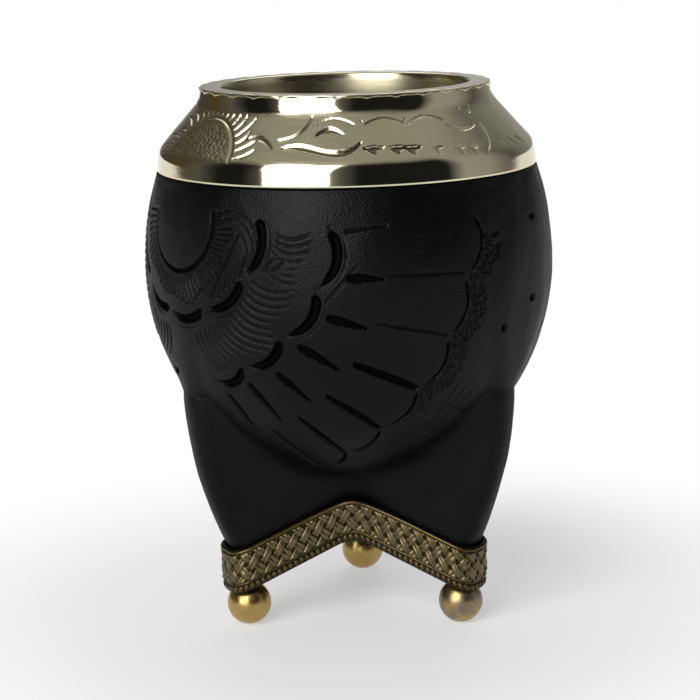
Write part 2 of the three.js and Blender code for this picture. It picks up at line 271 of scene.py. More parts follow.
def unit(vectors):
    return vectors / np.maximum(np.linalg.norm(vectors, axis=-1, keepdims=True), 1e-9)


def normals_of(rings):
    """Outward normals of an open lofted surface."""
    around = np.roll(rings, -1, 1) - np.roll(rings, 1, 1)
    return unit(np.cross(around, np.gradient(rings, axis=0)))


def smooth_step(low, high, value):
    share = np.clip((value - low) / (high - low), 0, 1)
    return share * share * (3 - 2 * share)


def bowl(gap, half_width):
    """Round-bottomed profile of a cut: 1 in the middle and 0 from the half width on."""
    return np.clip(1 - (gap / half_width) ** 2, 0, 1)


def lumps(points, size, seed):
    """Smooth noise of about -1 to 1, from a few waves in random directions."""
    waves = np.random.default_rng(seed)
    total = np.zeros(points.shape[:-1])
    for _ in range(7):
        way = waves.normal(size=3)
        way /= np.linalg.norm(way) * size / (2 * math.pi) * waves.uniform(0.6, 1.6)
        total += np.sin(points @ way + waves.uniform(0, 6.28))
    return total / 3.5


# Strokes of a tool, on a flat chart

def bent_line(points, steps=14):
    """A smooth line through a few points, or close by them where there are many."""
    points = np.asarray(points, float)
    if len(points) == 2:
        return points
    knots = np.concatenate([[0], np.cumsum(np.linalg.norm(np.diff(points, axis=0), axis=1))])
    fit = np.polyfit(knots, points, min(len(points) - 1, 3))
    at = np.linspace(0, knots[-1], steps)
    return np.stack([np.polyval(fit[:, 0], at), np.polyval(fit[:, 1], at)], -1)


def groove(x, y, line, half_widths, depth):
    """Depth of a groove along a line, whose half width runs evenly through the given values."""
    cut = np.zeros_like(x)
    reach_of_tool = max(half_widths)
    low = line.min(0) - reach_of_tool
    high = line.max(0) + reach_of_tool
    near = (x > low[0]) & (x < high[0]) & (y > low[1]) & (y < high[1])
    if not near.any():
        return cut
    px, py = x[near], y[near]
    found = np.zeros_like(px)
    count = len(line) - 1
    for step in range(count):
        (ax, ay), (bx, by) = line[step], line[step + 1]
        length = max((bx - ax) ** 2 + (by - ay) ** 2, 1e-9)
        share = np.clip(((px - ax) * (bx - ax) + (py - ay) * (by - ay)) / length, 0, 1)
        gap = np.hypot(px - ax - share * (bx - ax), py - ay - share * (by - ay))
        width = np.interp((step + share) / count, np.linspace(0, 1, len(half_widths)), half_widths)
        found = np.maximum(found, bowl(gap, width))
    cut[near] = depth * found
    return cut


# Leather tooling: a fan of feathers, drawn about one centre on the flattened leather, with turns in degrees
# A row of scallops, whose radius goes from the top value to the foot value between two turns
FeatherRow = namedtuple("FeatherRow", "top foot change bulge first pitch half_width depth top_end leg_gap")
# A bunch of fine lines that run outward, with the slant in degrees per mm and the bow in degrees
Barbs = namedtuple("Barbs", "span turns pitch slant bow half_width depth")
# A ring of straight cuts that point outward, fine ones above one turn and wide torn ones below it
Quills = namedtuple("Quills", "outer first pitch leg_gap lean fine_above fine_widths fine_depth wide_widths")

FAN_AZIMUTH = math.radians(-50.7)
FAN_RISE = 15.0
FAN_FOOT = -184
FAN_FADE = 6
LEG_BELOW = -90
EYE_RADIUS = 11.8
EYE_HALF_WIDTH = 0.65
EYE_DEPTH = 0.9
EYE_BEVEL = 0.3
EYE_BARBS = (
    Barbs((EYE_RADIUS + 0.8, 18.6), (-54, -1), 4.6, 0.5, 0.0, 0.36, 0.42),
    Barbs((EYE_RADIUS + 0.8, 19.0), (FAN_FOOT, -54), 5.4, 0.35, 1.0, 0.46, 0.42),
)
BOWED_BARBS = (
    Barbs((27.6, 39.4), (-19, 1), 2.9, -0.05, 4.4, 0.36, 0.42),
    Barbs((24.6, 38.2), (-76, -22), 3.55, 0.36, 5.6, 0.4, 0.48),
    Barbs((24.6, 38.2), (FAN_FOOT, -104), 3.55, -0.36, -5.6, 0.4, 0.48),
)
FEATHER_ROWS = (
    FeatherRow(24.1, 21.0, (-10, -80), 2.0, -29.2, 35.5, 1.1, 1.2, 2.5, 0),
    FeatherRow(41.4, 37.6, (-5, -60), 2.7, -20.0, 20.2, 1.15, 1.3, 0.0, 9),
    FeatherRow(76.6, 73.8, (-2, -13), 3.0, -9.8, 11.0, 0.72, 0.9, 0.5, 29),
)
FINE_QUILL = (0.6, 0.42, 0.36, 0.25)
QUILLS_INNER = Quills(55.0, -0.7, 12.45, 13, 0.6, -5, FINE_QUILL, 0.6, (1.0, 1.25, 1.0, 0.6, 0.2))
QUILLS_INNER_GAP = 3.8
QUILLS_OUTER = Quills(73.5, -9.9, 11.4, 17, 1.3, -25, (0.3, 0.4, 0.4), 0.4, (0.75, 1.15, 1.1, 0.85))
QUILLS_OUTER_START = 56.5
QUILL_TIP_LEAN = 0.8
QUILL_DEPTH = 1.0
LOBE = ((14.9, 3.3), (18.9, 3.0), (22.4, 0.6), (24.6, -3.3), (24.9, -5.8), (23.1, -9.4))
LOBE_CENTRE = (15.5, -8.5)
LOBE_SHRINKS = (1.0, 0.84, 0.68)
LOBE_RIB = ((19.6, -2.2), (11.7, -17.2))
LOBE_BARBS = 5
LOBE_BARB_FOOT = np.array([13.9, -17.0])
LOBE_BARB_STEP = np.array([1.5, 1.25])
LOBE_BARB = np.array([1.5, 5.2])
LEAF = (((26.6, -10.1), (28.1, -7.6), (31.1, -7.4)), ((31.1, -7.4), (28.9, -9.4), (26.6, -10.1)))
LEAF_CENTRE = (28.9, -8.8)
LEAF_CLEARING = (2.9, 1.9)
MATTING_TURNS = (-35, -2.5)
MATTING_GAP = 1.0
MATTING_WIDTH = 4.6
PUNCHES = 330
BRICK_LINES = (-31.9, -36.7, -41.3)
BRICK_SPAN = (83.5, 97.0)
BRICK_START = 84.5
BRICK_HEIGHT = 3.0
BRICK_WIDTH = 4.4
DOTS = ((65.0, 12.9), (62.5, -5.9), (49.6, -11.5))
DOT_DEPTH = 1.1


def meridian_arc(z):
    """Length along the egg's side from the belly up to a level."""
    levels = np.linspace(BELLY_LEVEL - BASE_SEMI_AXIS * 0.999, BELLY_LEVEL + CROWN_SEMI_AXIS * 0.8, 3000)
    rise = levels - BELLY_LEVEL
    semi = np.where(rise > 0, CROWN_SEMI_AXIS, BASE_SEMI_AXIS)
    radius = BELLY_RADIUS * np.sqrt(np.maximum(1 - (rise / semi) ** 2, 0))
    arc = np.concatenate([[0], np.cumsum(np.hypot(np.diff(levels), np.diff(radius)))])
    arc -= np.interp(BELLY_LEVEL, levels, arc)
    return np.interp(z, levels, arc)


def polar(rho, degrees):
    return [rho * math.cos(math.radians(degrees)), rho * math.sin(math.radians(degrees))]


def above_foot(theta):
    """Fades the fan out at its foot."""
    return smooth_step(FAN_FOOT - FAN_FADE, FAN_FOOT, theta)


def hatch(rho, theta, barbs):
    """Depth of a bunch of barbs, whose ends are ragged."""
    inner, outer = barbs.span
    start, end = barbs.turns
    share = (rho - inner) / (outer - inner)
    bow = barbs.bow * np.sin(np.pi * np.clip(share, 0, 1) ** 0.75)
    phase = (theta - barbs.slant * (rho - inner) + bow) / barbs.pitch
    line = np.round(phase)
    gap = np.abs(phase - line) * np.radians(barbs.pitch) * rho
    ragged = 0.12 * np.sin(line * 12.9) + 0.1 * np.sin(line * 5.3)
    ends = smooth_step(0.0, 0.1, share - 0.08 - ragged * 0.4) * smooth_step(0.0, 0.15, 0.9 + ragged - share)
    drawn = (line * barbs.pitch > start) & (line * barbs.pitch < end)
    return barbs.depth * drawn * ends * bowl(gap, barbs.half_width)


def edge_of_row(theta, row):
    """Radius of the scalloped edge of a row of feathers."""
    start, end = row.change
    radius = row.top + (row.foot - row.top) * smooth_step(-start, -end, -theta)
    return radius + row.bulge * np.sin(np.pi * (((theta - row.first) / row.pitch) % 1.0)) ** 0.8


def feather_row(rho, theta, row):
    """One row of scallops: crescent cuts, each with a fine line along it and a bevel outside it."""
    share = ((theta - row.first) / row.pitch) % 1.0
    gap = rho - edge_of_row(theta, row)
    taper = smooth_step(0.06, 0.32, share) * smooth_step(0.94, 0.86, share)
    width = row.half_width * (0.35 + 0.65 * taper) * (0.8 + 0.3 * share)
    cut = row.depth * taper ** 0.4 * np.sqrt(bowl(gap, width))
    bevel = 0.16 * row.depth * smooth_step(-0.4, 0.3, gap) * np.exp(-np.maximum(gap, 0) / 2.2)
    outline = 0.25 * row.depth * bowl(gap - 1.75 * row.half_width, 0.36) * np.sin(np.pi * share)
    drawn = smooth_step(row.top_end + 1.6, row.top_end, theta) * above_foot(theta)
    if row.leg_gap:
        drawn = drawn * smooth_step(row.leg_gap, row.leg_gap + 2.0, np.abs(theta - LEG_BELOW))
    return drawn * np.maximum(cut, np.maximum(bevel, outline))


def quill_turns(quills):
    """Turns of the quills round the fan, without those that would run onto the leg below it."""
    turns = [quills.first - quills.pitch * step for step in range(16)]
    return [turn for turn in turns if turn > FAN_FOOT and abs(turn - LEG_BELOW) > quills.leg_gap]


def tooling(azimuth, z):
    """Depth of the tooling, by azimuth from the front in radians and by level."""
    across = (azimuth - FAN_AZIMUTH + np.pi) % (2 * np.pi) - np.pi
    x = BELLY_RADIUS * across
    y = meridian_arc(z) - FAN_RISE
    rho = np.hypot(x, y)
    theta = np.degrees(np.arctan2(y, x))
    theta = np.where(theta > 90, theta - 360, theta)
    cut = np.zeros_like(x)

    def add(depth):
        nonlocal cut
        cut = np.maximum(cut, depth)

    def stroke(points, half_widths, depth):
        add(groove(x, y, np.asarray(points, float), half_widths, depth))

    # Eye, with barbs round it
    below = smooth_step(15.0, 12.0, theta) * above_foot(theta)
    add(below * EYE_DEPTH * bowl(rho - EYE_RADIUS, EYE_HALF_WIDTH))
    outside = smooth_step(EYE_RADIUS, EYE_RADIUS + 0.6, rho)
    add(below * EYE_BEVEL * outside * smooth_step(4, 0, rho - EYE_RADIUS))
    for barbs in EYE_BARBS:
        add(hatch(rho, theta, barbs))
    # First lobe: nested outlines, a rib, and close barbs outside the rib
    for shrink in LOBE_SHRINKS:
        nested = np.array(LOBE_CENTRE) + shrink * (np.array(LOBE) - LOBE_CENTRE)
        stroke(bent_line(nested), [0.3, 0.36, 0.3], 0.36)
    stroke(LOBE_RIB, [0.3, 0.42, 0.42], 0.55)
    for step in range(LOBE_BARBS):
        foot = LOBE_BARB_FOOT + LOBE_BARB_STEP * step
        stroke([foot, foot + LOBE_BARB], [0.34, 0.38, 0.25], 0.42)
    # Second ring: bunches of bowed barbs, with a leaf among them
    from_leaf = np.hypot((x - LEAF_CENTRE[0]) / LEAF_CLEARING[0], (y - LEAF_CENTRE[1]) / LEAF_CLEARING[1])
    clear = smooth_step(1.0, 1.5, from_leaf)
    for barbs in BOWED_BARBS:
        add(clear * hatch(rho, theta, barbs))
    for side in LEAF:
        stroke(bent_line(side), [0.25, 0.34, 0.25], 0.42)
    for row in FEATHER_ROWS:
        add(feather_row(rho, theta, row))
    # Quills, the wide ones cut with a tool that leaves ragged sides
    torn_x = x + 0.06 * np.sin(3.3 * x + 2.9 * np.sin(1.7 * y))
    torn_x = torn_x + 0.03 * np.sin(6.1 * y + 3.0 * np.sin(2.3 * x))
    torn_y = y + 0.06 * np.sin(3.7 * y + 2.7 * np.sin(1.9 * x))
    torn_y = torn_y + 0.03 * np.sin(6.7 * x + 3.0 * np.sin(2.1 * y))

    def quill(ring, inner, turn):
        line = np.array([polar(inner, turn - ring.lean), polar(ring.outer, turn + QUILL_TIP_LEAN)])
        if turn > ring.fine_above:
            stroke(line, ring.fine_widths, ring.fine_depth)
        else:
            add(groove(torn_x, torn_y, line, ring.wide_widths, QUILL_DEPTH))

    for turn in quill_turns(QUILLS_INNER):
        quill(QUILLS_INNER, edge_of_row(turn, FEATHER_ROWS[1]) + QUILLS_INNER_GAP, turn)
    for turn in quill_turns(QUILLS_OUTER):
        quill(QUILLS_OUTER, QUILLS_OUTER_START, turn)
    stroke([polar(44.0, -22.0), polar(48.5, -10.5)], [0.35, 0.6, 0.3], 0.5)
    # Matting outside the last row, then a course of bricks and three dots
    punch = np.random.default_rng(5)
    for _ in range(PUNCHES):
        turn = punch.uniform(*MATTING_TURNS)
        away = edge_of_row(turn, FEATHER_ROWS[2]) + MATTING_GAP + MATTING_WIDTH * punch.uniform(0, 1) ** 1.3
        line = np.array(polar(away, turn)) + np.array([[0, -0.3], [0, 0.3]]) * punch.uniform(0.2, 1.4)
        add(groove(x, y, line, [punch.uniform(0.32, 0.5)], punch.uniform(0.3, 0.6)))
    for number, turn in enumerate(BRICK_LINES):
        stroke([polar(BRICK_SPAN[0], turn), polar(BRICK_SPAN[1], turn + 0.8)], [0.3, 0.4, 0.3], 0.38)
        for step in range(3):
            away = BRICK_START + BRICK_HEIGHT * step + BRICK_HEIGHT / 2 * (number % 2)
            stroke([polar(away, turn), polar(away, turn + BRICK_WIDTH)], [0.3, 0.34], 0.22)
    for at, rise in DOTS:
        dx = BELLY_RADIUS * (azimuth - math.radians(at))
        dy = y + FAN_RISE - rise
        add(DOT_DEPTH * np.clip(1 - dx * dx - dy * dy, 0, 1))
    return cut


LEATHER_COLUMNS = 1000
LEATHER_BODY_ROWS = 250
LEATHER_LEG_ROWS = 79
LEATHER_SINK = 0.19
TOOLED_EXTRA = 2.2
SEAM_AZIMUTH = math.radians(131)
SEAM_LEVELS = (24.0, 112.0)


def leather_angles():
    """Columns of the leather: close together under the tooling and wider apart at the back."""
    turn = np.linspace(-np.pi, np.pi, 3601)
    tooled = smooth_step(math.radians(106), math.radians(92), np.abs(turn))
    density = 1.0 + TOOLED_EXTRA * tooled
    total = np.concatenate([[0], np.cumsum((density[1:] + density[:-1]) / 2)])
    marks = np.interp(np.linspace(0, total[-1], LEATHER_COLUMNS + 1)[:-1], total, turn)
    return np.sort(marks + FAN_AZIMUTH - math.pi / 2)


def leg_level(share):
    """A row that lies at a share of the way from the hem to the top of the legs."""
    return lambda r, angle: LEG_TOP_LEVEL * share + hem(r, angle) * (1 - share)


def build_leather(material):
    angles = leather_angles()
    edge = COLLAR_BOTTOM - SEAT_GAP
    legs = [leg_level(share) for share in np.linspace(0, 1, LEATHER_LEG_ROWS + 1)[:-1]]
    body = [flat_level(z) for z in np.linspace(LEG_TOP_LEVEL, edge, LEATHER_BODY_ROWS)]
    outside = field_rings(cover_distance, 0.0, angles, legs + body)
    x, y, z = outside[..., 0], outside[..., 1], outside[..., 2]
    r = np.hypot(x, y)
    angle = np.arctan2(y, x)
    azimuth = (angle + math.pi / 2 + np.pi) % (2 * np.pi) - np.pi
    on_body = smooth_step(-6.0, -2.0, legs_distance(r, angle, z) - egg_distance(r, angle, z))
    clear = smooth_step(edge, edge - 2.0, z)
    seam_line = np.array([[0, level] for level in SEAM_LEVELS])
    seam = groove(BELLY_RADIUS * (azimuth - SEAM_AZIMUTH), z, seam_line, [0.55], 0.5)
    cut = np.maximum(tooling(azimuth, z) * on_body * clear, seam)
    near_hem = smooth_step(0, 16, z - TRIM_TIP_LEVEL - TRIM_HEIGHT)
    wavy = 0.2 * lumps(outside, 19.0, 3) + 0.035 * lumps(outside, 7.0, 4)
    height = np.minimum(wavy * near_hem * clear, 0.1) - LEATHER_SINK - cut
    shown = outside + normals_of(outside) * height[..., None]
    tuck = COLLAR_BOTTOM + TUCK_HEIGHT
    under = COLLAR_BAND_RADIUS - SHEET - SEAT_GAP
    tucked = [(under, edge + 0.05), (under - 0.4, tuck), (egg_radius(tuck, LEATHER)[0], tuck)]
    inner = [flat_level(at) for at in np.linspace(edge, LEG_TOP_LEVEL, 5)] + legs[::-30] + [hem]
    rings = np.concatenate([
        shown,
        turned_rings(tucked, angles),
        field_rings(cover_distance, -LEATHER, angles, inner),
        field_rings(cover_distance, -0.35, angles, [hem]),
    ])
    piece = loft("leather", rings, material, closed=True)
    set_attribute(piece, "tooled", cut)
    return piece


SEAM_STITCHES = (33.0, 4.0)  # level of the first, and room left under the collar
STITCH_PITCH = 5.2
STITCH_HALF_HEIGHT = 1.5
STITCH_HALF_WIDTH = 1.9
STITCH_SINK = 0.2
THREAD_RADIUS = 0.42
THREAD_SIDES = 8
THREAD_STEPS = 8


def stitch_rings(level):
    """Rings of points along one stitch, whose ends dip into the leather."""
    share = np.linspace(-1, 1, THREAD_STEPS + 1)
    at = SEAM_AZIMUTH - math.pi / 2 + STITCH_HALF_WIDTH * share / BELLY_RADIUS
    out = ring_of(1.0, at, 0.0)
    rise = THREAD_RADIUS * np.sqrt(np.maximum(1 - share ** 4, 0)) - STITCH_SINK
    thick = THREAD_RADIUS * np.sqrt(np.maximum(1 - share ** 6, 0.02))
    on_leather = field_ring(cover_distance, 0.0, at, flat_level(level + STITCH_HALF_HEIGHT * share))
    path = on_leather + out * rise[:, None]
    tangent = unit(np.gradient(path, axis=0))
    side = unit(np.cross(tangent, out[-1]))
    lift = np.cross(side, tangent)
    turn = even_angles(THREAD_SIDES)[:, None]
    around = np.cos(turn) * side[:, None] + np.sin(turn) * lift[:, None]
    return path[:, None] + thick[:, None, None] * around


def build_seam(material):
    """Waxed stitches over the butted seam at the back of the cover."""
    levels = np.arange(SEAM_STITCHES[0], COLLAR_BOTTOM - SEAM_STITCHES[1], STITCH_PITCH)
    points = np.stack([stitch_rings(level) for level in levels]).reshape(-1, 3)
    sides = range(THREAD_SIDES)
    faces, uvs = [], []
    for number in range(len(levels)):
        first = number * (THREAD_STEPS + 1) * THREAD_SIDES
        for row in range(THREAD_STEPS):
            base = first + row * THREAD_SIDES
            v0, v1 = [(number + (row + end) / THREAD_STEPS) / len(levels) for end in (0, 1)]
            for step in sides:
                on = (step + 1) % THREAD_SIDES
                faces.append([base + step, base + on, base + THREAD_SIDES + on, base + THREAD_SIDES + step])
                u0, u1 = step / THREAD_SIDES, (step + 1) / THREAD_SIDES
                uvs += [[u0, v0], [u1, v0], [u1, v1], [u0, v1]]
        for cap, order in ((first, sides[::-1]), (first + THREAD_STEPS * THREAD_SIDES, sides)):
            faces.append([cap + step for step in order])
            uvs += [[0.5 + 0.01 * step, number / len(levels)] for step in order]
    return make_object("seam_thread", points, faces, uvs, material)


# Trim band with a plaited relief

BRAID = (2.5, 9.9)
STRAND_HALF_WIDTH = 0.36
BRAID_PITCH = 3.6
BRAID_ROW = 4.4
BRAID_FADE = (-0.1, 0.35)
WEAVE_RISE = 0.2
BEAD_PITCH = 1.5
BEAD_LEVEL = 1.15
BEAD_RADIUS = 0.72
TRIM_FILLET_LEVEL = 2.3
TRIM_COLUMNS = 1500
TRIM_ROWS = 66
TRIM_SINK = 0.15


def strand_height(across, wave):
    """Height of one set of strands, each a pair of cords that rises and dips with the weave."""
    off = np.abs(across % 1.0 - 0.5) / STRAND_HALF_WIDTH
    return np.where(off < 1, 0.2 + wave + 0.24 * np.sqrt(bowl(off - 0.5, 0.5)), 0)


def trim_relief(along, rise):
    along, rise = np.broadcast_arrays(along, rise)
    bead_share = (along / BEAD_PITCH) % 1.0 - 0.5
    beads = 0.38 * np.sqrt(bowl(np.hypot(bead_share * BEAD_PITCH, rise - BEAD_LEVEL), BEAD_RADIUS))
    fillet = 0.34 * bowl(rise - TRIM_FILLET_LEVEL, 0.32)
    bottom, top = BRAID
    outer, inner = BRAID_FADE
    p = along / BRAID_PITCH + (rise - bottom) / BRAID_ROW
    q = along / BRAID_PITCH - (rise - bottom) / BRAID_ROW
    first = strand_height(q, WEAVE_RISE * np.cos(np.pi * (p - 0.5 - np.floor(q))))
    second = strand_height(p, -WEAVE_RISE * np.cos(np.pi * (q - 0.5 - np.floor(p))))
    strand = np.maximum(np.maximum(first, second), 0)
    inside = smooth_step(bottom + outer, bottom + inner, rise) * smooth_step(top - outer, top - inner, rise)
    rim = 0.45 * np.sqrt(bowl(rise - TRIM_HEIGHT + 0.5, 0.55))
    return np.maximum.reduce([beads, fillet, strand * inside, rim])


def trim_angles():
    """Columns at even steps along the strip, which runs round the three legs."""
    fine = np.linspace(-np.pi, np.pi, 6001)
    ring = field_ring(cover_distance, SEAT_GAP + TRIM_SHEET, fine, trim_level(TRIM_HEIGHT / 2))
    length = np.concatenate([[0], np.cumsum(np.linalg.norm(np.diff(ring, axis=0), axis=1))])
    marks = np.linspace(0, length[-1], TRIM_COLUMNS + 1)[:-1]
    return np.interp(marks, length, fine), marks, length[-1]


def build_trim(material):
    angles, marks, total = trim_angles()
    braids = round(total / BRAID_PITCH)
    along = marks * braids * BRAID_PITCH / total
    rises = np.linspace(0, TRIM_HEIGHT, TRIM_ROWS)
    base = SEAT_GAP + TRIM_SHEET - TRIM_SINK
    outside = field_rings(cover_distance, base, angles, [trim_level(rise) for rise in rises])
    edges = np.minimum(rises, TRIM_HEIGHT - rises)[:, None]
    relief = trim_relief(along[None, :], rises[:, None]) - 0.3 * smooth_step(0.35, 0.0, edges)
    shown = outside + normals_of(outside) * relief[..., None]
    back = [trim_level(rise) for rise in (TRIM_HEIGHT, TRIM_HEIGHT / 2, 0)]
    inner = field_rings(cover_distance, SEAT_GAP, angles, back)
    piece = loft("trim", np.concatenate([shown, inner]), material, closed=True)
    set_attribute(piece, "relief", relief)
    return piece


# Collar

def rounded_line(corners, step):
    """A bent line of [radius, level, setback of the rounding], as points about a step apart."""
    knots = [np.array(corner[:2], float) for corner in corners]
    points = []
    start = knots[0]
    for at in range(1, len(corners)):
        corner = knots[at]
        setback = corners[at][2] if len(corners[at]) > 2 else 0
        first = corner + unit(start - corner) * setback
        count = max(int(np.linalg.norm(first - start) / step), 1)
        points += [start + (first - start) * k / count for k in range(count)]
        start = first
        if setback:
            start = corner + unit(knots[at + 1] - corner) * setback
            count = max(int(1.8 * setback / step), 6)
            for t in np.arange(count) / count:
                points.append((1 - t) ** 2 * first + 2 * t * (1 - t) * corner + t * t * start)
    return np.array(points + [start])


SHOULDER = math.hypot(COLLAR_BAND_RADIUS - COLLAR_BAND_TAPER - NECK_RADIUS - NECK_FLARE, SHOULDER_HEIGHT)
CHART = 0.70  # mm on the shoulder for a degree
NECK_LAP = 0.45
COLLAR_COLUMNS = 960
COLLAR_STEP = 0.27

# Chasing, in degrees round the collar and shares of the way up the shoulder
FLOWER_TURN = 50.7
FLOWER_RISE = 0.5
FLOWER_RADIUS = 11.7
PETALS = 19
PETAL_PITCH = 9.55
SCROLL = (
    # points, half widths and depth of each stroke
    (((-32.9, 0.41), (-27.6, 0.52), (-20.4, 0.30)), (0.3, 0.75, 0.2), 0.35),
    (((-8.9, 0.94), (-12.5, 0.61), (-18.7, 0.47)), (0.25, 0.45, 0.5), 0.35),
    (((-6.7, 0.57), (-2.5, 0.68), (2.1, 0.58)), (0.3, 1.0, 0.3), 0.45),
    (((-7.8, 0.76), (-1.0, 0.89), (5.5, 0.77)), (0.35, 0.25, 0.55), 0.3),
    (
        ((-16.9, 0.32), (-11.5, 0.37), (-5.8, 0.26), (0.5, 0.23), (7.6, 0.42)),
        (0.4, 0.95, 0.8, 1.05, 0.25),
        0.5,
    ),
    (((39.1, 0.68), (44.1, 0.55), (51.4, 0.61)), (0.25, 0.35, 0.25), 0.26),
    (((54.7, 0.63), (54.2, 0.41), (48.8, 0.05)), (0.25, 0.5, 0.25), 0.3),
)
WEDGES = (
    # turn, level, size and depth
    (11.3, 0.25, 1.25, 0.6), (18.6, 0.24, 1.15, 0.6), (23.4, 0.22, 1.15, 0.6),
    (31.7, 0.19, 0.6, 0.3), (39.7, 0.16, 0.6, 0.3), (44.9, 0.13, 0.6, 0.3),
)
SCALLOP_TURNS = (8.4, 23.9)
DROPS = ((48.7, 0.95), (54.7, 0.97), (59.5, 0.97), (53.3, 0.87))
DASH_TURNS = (59.5, 65.5, 71.5)


def chased(azimuth_degrees, share):
    """Depth of the chasing on the shoulder, which repeats on the far side of the collar."""
    at = (azimuth_degrees + 90) % 180 - 90
    x = at * CHART
    y = share * SHOULDER
    cut = np.zeros_like(x)

    def add(depth):
        nonlocal cut
        cut = np.maximum(cut, depth)

    def stroke(points, half_widths, depth):
        charted = [[turn * CHART, level * SHOULDER] for turn, level in points]
        add(groove(x, y, bent_line(charted), half_widths, depth))

    # Flower: a stippled half disc with a ring of short petals
    fx, fy = x + FLOWER_TURN * CHART, y - FLOWER_RISE
    rho = np.hypot(fx, fy)
    add(0.3 * bowl(rho - FLOWER_RADIUS, 0.45))
    pips = np.sin(4.1 * fx + 1.3 * np.sin(3.1 * fy)) * np.sin(3.7 * fy + 1.2 * np.sin(2.9 * fx))
    add(0.24 * np.clip(pips, 0, 1) * smooth_step(11.0, 9.5, rho))
    for step in range(PETALS):
        turn = 4 + PETAL_PITCH * step
        tip = 17.6 + 1.3 * math.sin(step * 2.4)
        petal = bent_line([polar(12.5, turn), polar(14.8, turn + 2), polar(tip, turn + 8)], 6)
        add(groove(fx, fy, petal, [0.2, 0.55, 0.45, 0.2], 0.36))
    for points, half_widths, depth in SCROLL:
        stroke(points, half_widths, depth)
    for turn, level, size, depth in WEDGES:
        base = [(turn - 2.5 * size, level + 0.05), (turn + 2.5 * size, level + 0.06)]
        stroke(base, [0.25, 0.7 * size, 0.3], depth)
        stroke([(turn - 0.4, level + 0.03), (turn + 0.3, level - 0.06)], [0.95 * size, 0.3], depth)
    # Scallops under the neck, with a drop at each joint
    for left in SCALLOP_TURNS:
        stroke([(left + 1.0, 0.76), (left + 8.0, 0.87), (left + 15.0, 0.75)], [0.4, 0.22, 0.35], 0.26)
        stroke([(left, 0.83), (left + 0.2, 0.81)], [0.5, 0.5], 0.25)
    for turn, level in DROPS:
        stroke([(turn, level), (turn + 0.2, level)], [0.45, 0.45], 0.3)
    for turn in DASH_TURNS:
        stroke([(turn - 1.6, 0.24), (turn + 1.6, 0.10)], [0.25, 0.35, 0.2], 0.28)
    return cut * smooth_step(0.0, 0.05, share) * smooth_step(1.0, 0.93, share)


def build_collar(material):
    angles = even_angles(COLLAR_COLUMNS)
    line = rounded_line([
        [COLLAR_BAND_RADIUS, COLLAR_BOTTOM],
        [COLLAR_BAND_RADIUS - COLLAR_BAND_TAPER, CREASE_LEVEL, CREASE_ROUNDING],
        [NECK_RADIUS + NECK_FLARE, NECK_BASE_LEVEL, NECK_ROUNDING],
        [NECK_RADIUS, NECK_TOP + NECK_LAP],
    ], COLLAR_STEP)
    outside = turned_rings(line, angles)
    share = ((line[:, 1] - CREASE_LEVEL) / SHOULDER_HEIGHT)[:, None] + 0 * angles[None, :]
    degrees = (np.degrees(angles)[None, :] + 90 + 180) % 360 - 180 + 0 * share
    cut = np.where((share > 0) & (share < 1), chased(degrees, np.clip(share, 0, 1)), 0)
    beaten = 0.05 * lumps(outside, 9.0, 8) * smooth_step(-0.1, 0.1, share) * smooth_step(1.1, 0.95, share)
    shown = outside + normals_of(outside) * (beaten - cut)[..., None]
    shown[0, :, :2] *= 1 - 0.12 / COLLAR_BAND_RADIUS
    inner = turned_rings([
        (NECK_RADIUS - SHEET, NECK_TOP + NECK_LAP),
        (NECK_RADIUS + NECK_FLARE - SHEET, NECK_BASE_LEVEL),
        (COLLAR_BAND_RADIUS - COLLAR_BAND_TAPER - SHEET, CREASE_LEVEL - 0.4),
        (COLLAR_BAND_RADIUS - SHEET, COLLAR_BOTTOM),
    ], angles)
    piece = loft("collar", np.concatenate([shown, inner]), material, closed=True)
    set_attribute(piece, "chased", cut)
    return piece


LIP_SCALLOPS = 32
LIP_EDGE = 0.5
LIP_PROUD = 0.1
LIP_FLARE = 0.55
LIP_FLARE_HEIGHT = 4.2
LINER_COLUMNS = 640
LINER_STEP = 0.4


def build_liner(material):
    """Sleeve and rolled lip, whose outer edge is scalloped and a little dented."""
    angles = even_angles(LINER_COLUMNS)
    edge = RIM_LEVEL - LIP_EDGE
    line = rounded_line([
        [MOUTH_RADIUS, RIM_LEVEL - SLEEVE_DEPTH],
        [MOUTH_RADIUS, RIM_LEVEL - LIP_FLARE_HEIGHT, 1.5],
        [MOUTH_RADIUS + LIP_FLARE, RIM_LEVEL, 0.8],
        [NECK_RADIUS + LIP_PROUD, RIM_LEVEL, LIP_EDGE * 0.9],
        [NECK_RADIUS + LIP_PROUD, edge],
    ], LINER_STEP)
    rings = turned_rings(line, angles)
    wave = np.abs(np.sin(angles * LIP_SCALLOPS / 2))
    outer = smooth_step(NECK_RADIUS - 3.0, NECK_RADIUS, line[:, 0])[:, None]
    low = smooth_step(RIM_LEVEL, edge, line[:, 1])[:, None]
    rings[..., 2] -= outer * low * (0.8 * (1 - wave)[None, :] - 0.15)
    rings[..., 2] -= outer * (1 - low) * 0.12 * (1 - wave)[None, :]
    dented = np.abs(lumps(rings, 14.0, 21)) * 0.08 + 0.02
    rings[..., 2] -= dented * outer
    hidden = turned_rings([
        (NECK_RADIUS - 0.7, edge + 0.1),
        (MOUTH_RADIUS + 2.2, RIM_LEVEL - 0.6),
        (MOUTH_RADIUS + SHEET, RIM_LEVEL - 2.4),
        (MOUTH_RADIUS + SHEET, RIM_LEVEL - SLEEVE_DEPTH),
    ], angles)
    return loft("liner", np.concatenate([rings, hidden])[::-1], material, closed=True)


# Gourd, sole and feet

GOURD_COLUMNS = 180
SOLE_COLUMNS = 360
BALL_COLUMNS = 64


